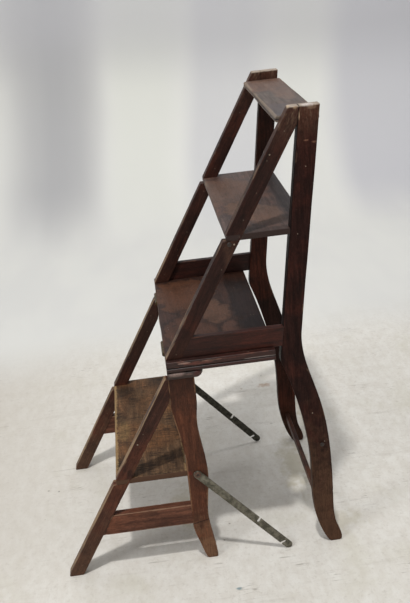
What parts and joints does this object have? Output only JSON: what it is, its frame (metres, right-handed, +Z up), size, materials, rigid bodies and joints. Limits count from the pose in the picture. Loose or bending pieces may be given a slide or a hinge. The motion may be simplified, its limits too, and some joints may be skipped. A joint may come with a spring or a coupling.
{
  "type": "folding step chair",
  "caption": "Wooden library chair whose back and seat fold over on two butt hinges to make a flight of steps, with swept posts and steel stays.",
  "frame": {"origin": "middle of the footprint, on the floor", "axes": "+X across the width to the climber's right, +Y the way the climber faces, +Z up"},
  "size_m": [0.424, 0.5696, 0.9],
  "materials": {
    "front_leg": "worn satin stain",
    "lower_stringer": "worn satin stain",
    "side_stretcher": "worn satin stain",
    "lower_tread": "worn satin stain",
    "seat_front": "worn satin stain",
    "front_rail": "worn satin stain",
    "back_post": "worn satin stain",
    "upper_stringer": "worn satin stain",
    "seat_rail": "worn satin stain",
    "seat_board": "worn satin stain",
    "middle_tread": "worn satin stain",
    "top_tread": "worn satin stain",
    "crest_rail": "worn satin stain",
    "stay": "dull patina",
    "hinge_metal": "aged",
    "screw_metal": "aged"
  },
  "bodies": {
    "base_half": {"front_leg_left": "front_leg", "front_leg_right": "front_leg", "lower_stringer_left": "lower_stringer", "lower_stringer_right": "lower_stringer", "side_stretcher_left": "side_stretcher", "side_stretcher_right": "side_stretcher", "lower_tread": "lower_tread", "seat_front": "seat_front", "front_rail": "front_rail", "hinge_leaf_fixed_left": "hinge_metal", "hinge_leaf_fixed_right": "hinge_metal", "stay_pivot_screws": "screw_metal"},
    "upper_half": {"back_post_left": "back_post", "back_post_right": "back_post", "upper_stringer_left": "upper_stringer", "upper_stringer_right": "upper_stringer", "seat_rail_left": "seat_rail", "seat_rail_right": "seat_rail", "seat_board": "seat_board", "middle_tread": "middle_tread", "top_tread": "top_tread", "crest_rail": "crest_rail", "hinge_leaf_moving_left": "hinge_metal", "hinge_leaf_moving_right": "hinge_metal", "hinge_pins": "hinge_metal", "post_studs": "screw_metal", "stringer_studs": "screw_metal"},
    "left_stay": {"stay_left": "stay"},
    "right_stay": {"stay_right": "stay"}
  },
  "joints": [
    {"name": "seat_fold", "type": "hinge", "parent": "base_half", "child": "upper_half", "pos_m": [0, -0.03667, 0.45], "axis": [1, 0, 0], "range_deg": [0, 180]},
    {"name": "left_stay_swing", "type": "hinge", "parent": "base_half", "child": "left_stay", "pos_m": [-0.2018, -0.00067, 0.208], "axis": [1, 0, 0], "range_deg": [-136.01, 54.2]},
    {"name": "right_stay_swing", "type": "hinge", "parent": "base_half", "child": "right_stay", "pos_m": [0.2018, -0.00067, 0.208], "axis": [1, 0, 0], "range_deg": [-136.01, 54.2]}
  ]
}
